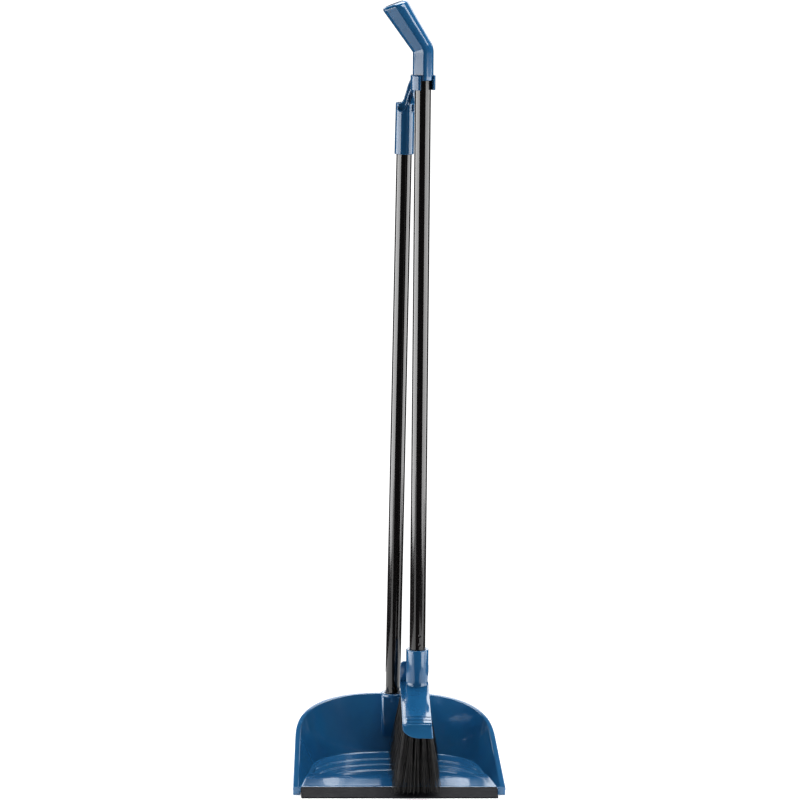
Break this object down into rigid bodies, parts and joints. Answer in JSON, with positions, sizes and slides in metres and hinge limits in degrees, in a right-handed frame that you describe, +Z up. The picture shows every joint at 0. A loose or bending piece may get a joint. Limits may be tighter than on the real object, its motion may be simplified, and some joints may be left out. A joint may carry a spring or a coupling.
{
  "type": "dust pan and brush set",
  "caption": "Upright lobby dust pan on a tall tube handle, with a rubber lip and a clip that holds a long-handled brush whose head stands in the pan.",
  "frame": {"origin": "on the floor, under the middle of the set's bounding box", "axes": "+Z up along the handles; the pan opens towards -Y and the socket for its handle is at the back, +Y; +X is to the right seen from the front"},
  "size_m": [0.249, 0.204, 0.9188],
  "materials": {
    "blue_plastic": "gloss",
    "black_rubber": "satin",
    "black_tube": "gloss",
    "plug_plastic": "matte",
    "bristle": "satin",
    "anchor_wire": "brushed"
  },
  "bodies": {
    "dust_pan": {"pan_shell": "blue_plastic", "rubber_lip": "black_rubber", "pan_tube": "black_tube", "pan_tube_plug": "plug_plastic", "handle_cap": "blue_plastic"},
    "brush": {"brush_tube": "black_tube", "brush_grip": "blue_plastic", "brush_tube_plug": "plug_plastic", "brush_head": "blue_plastic", "tuft_anchors": "anchor_wire", "tuft_row_01": "bristle", "tuft_row_02": "bristle", "tuft_row_03": "bristle", "tuft_row_04": "bristle", "tuft_row_05": "bristle", "tuft_row_06": "bristle", "tuft_row_07": "bristle", "tuft_row_08": "bristle", "tuft_row_09": "bristle", "tuft_row_10": "bristle", "tuft_row_11": "bristle", "tuft_row_12": "bristle", "tuft_row_13": "bristle", "tuft_row_14": "bristle"}
  },
  "joints": [
    {"name": "brush_lift_off", "type": "slide", "parent": "dust_pan", "child": "brush", "axis": [0.3244, -0.803, 0.5], "range_m": [0, 0.3]}
  ]
}
